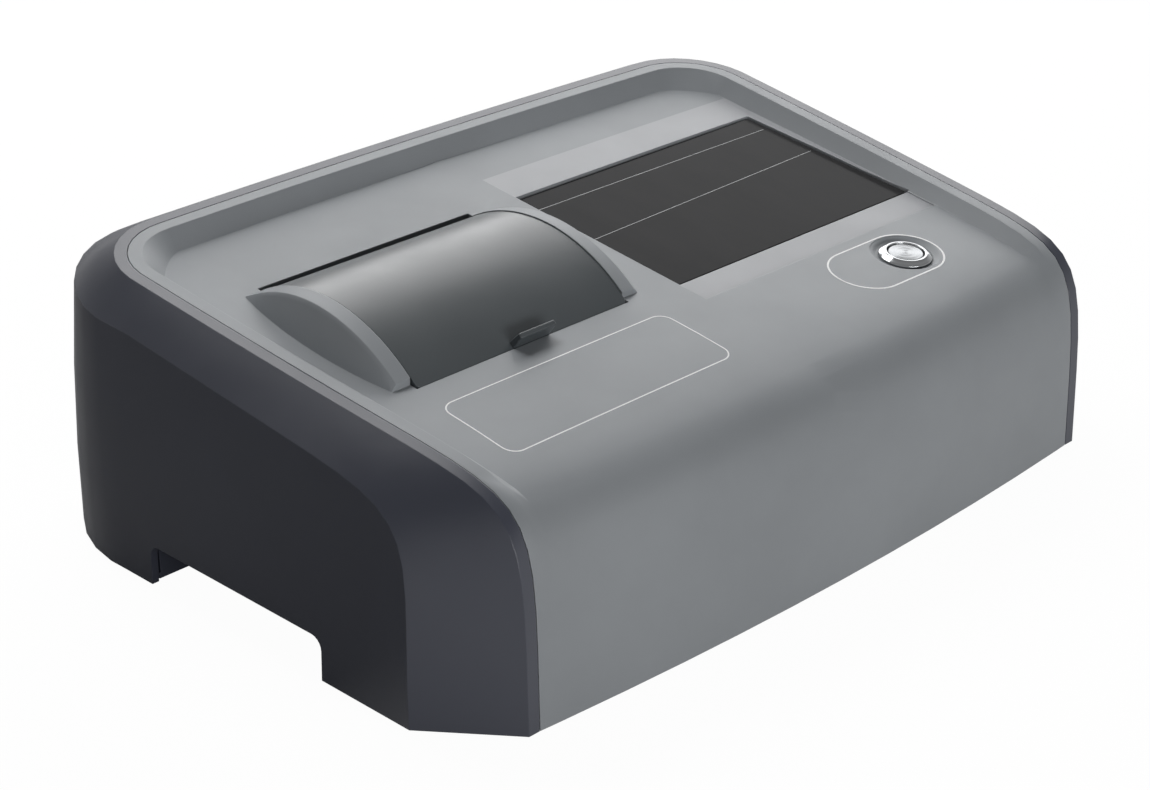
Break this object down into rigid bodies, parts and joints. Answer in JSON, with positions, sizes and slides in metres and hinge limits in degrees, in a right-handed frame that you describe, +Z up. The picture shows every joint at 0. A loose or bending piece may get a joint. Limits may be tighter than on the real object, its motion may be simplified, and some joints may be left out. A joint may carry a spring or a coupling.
{
  "type": "benchtop colorimeter",
  "caption": "Benchtop colorimeter with a wedge-shaped case, recessed deck, arched hinged sample lid, tilted display, push button and a sample well inside.",
  "frame": {"origin": "centre of the case's bounding box in plan, on the plane that the feet stand on", "axes": "+X to the instrument's right as its user sees it, +Y to the back, +Z up"},
  "size_m": [0.3848, 0.2685, 0.1151],
  "materials": {
    "cover_grey": "fine satin moulding, mid grey",
    "shell_dark": "satin moulding, blue-black",
    "lid_dark": "satin moulding, dark grey",
    "black_plastic": "matte black moulding",
    "foot_rubber": "soft matte rubber",
    "foam": "closed-cell foam",
    "steel": "brushed stainless",
    "plated_steel": "zinc-plated sheet",
    "anodised": "black anodised",
    "cast_alloy": "machined alloy",
    "screen_glass": "dark display glass, screen off",
    "lens_glass": "polished optical glass",
    "board_green": "coated circuit board",
    "ceramic": "white lamp substrate"
  },
  "bodies": {
    "case": {"main_cover": "cover_grey", "outer_shell": "shell_dark", "base_pan": "shell_dark", "lid_hinge_pin": "steel", "sample_tub": "black_plastic", "tub_gasket": "foam", "cuvette_holder": "anodised", "optical_bench": "cast_alloy", "lamp_housing": "anodised", "lamp_led": "ceramic", "lens_barrel": "anodised", "source_lens": "lens_glass", "sphere_half_left": "cast_alloy", "sphere_half_right": "cast_alloy", "port_coupler": "anodised", "spectrometer_housing": "cast_alloy", "spectrometer_cover": "cast_alloy", "slit_plate": "anodised", "concave_grating": "lens_glass", "sensor_board": "board_green", "main_board": "board_green", "usb_socket": "plated_steel", "power_jack": "black_plastic", "power_rocker_frame": "black_plastic", "display_glass": "screen_glass", "display_frame": "black_plastic", "display_module": "cast_alloy", "display_bracket": "plated_steel", "button_bezel": "steel", "button_nut": "steel", "button_spring": "steel", "button_contact_block": "black_plastic", "foot_front_left": "foot_rubber", "foot_rear_left": "foot_rubber", "foot_front_right": "foot_rubber", "foot_rear_right": "foot_rubber", "case_screw_1": "plated_steel", "case_screw_2": "plated_steel", "case_screw_3": "plated_steel", "case_screw_4": "plated_steel", "case_screw_5": "plated_steel", "case_screw_6": "plated_steel", "case_screw_7": "plated_steel", "case_screw_8": "plated_steel", "tub_screw_1": "plated_steel", "bench_standoff_1": "plated_steel", "board_standoff_1": "plated_steel", "tub_screw_2": "plated_steel", "bench_standoff_2": "plated_steel", "board_standoff_2": "plated_steel", "tub_screw_3": "plated_steel", "bench_standoff_3": "plated_steel", "board_standoff_3": "plated_steel", "tub_screw_4": "plated_steel", "bench_standoff_4": "plated_steel", "board_standoff_4": "plated_steel"},
    "lid": {"compartment_lid": "lid_dark"},
    "test_button": {"button_cap": "steel"},
    "power_key": {"power_rocker": "black_plastic"}
  },
  "joints": [
    {"name": "lid_hinge", "type": "hinge", "parent": "case", "child": "lid", "pos_m": [-0.074, 0.04605, 0.10069], "axis": [-1, 0, 0], "range_deg": [0, 105]},
    {"name": "test_button_press", "type": "slide", "parent": "case", "child": "test_button", "axis": [0, 0.0911, -0.9958], "range_m": [0, 0.0016], "stiffness_N_per_m": 900, "springref_m": -0.0015, "deforming": ["button_spring"]},
    {"name": "power_rocker_tilt", "type": "hinge", "parent": "case", "child": "power_key", "pos_m": [0.095, 0.12856, 0.051], "axis": [-1, 0, 0], "range_deg": [0, 14]}
  ]
}
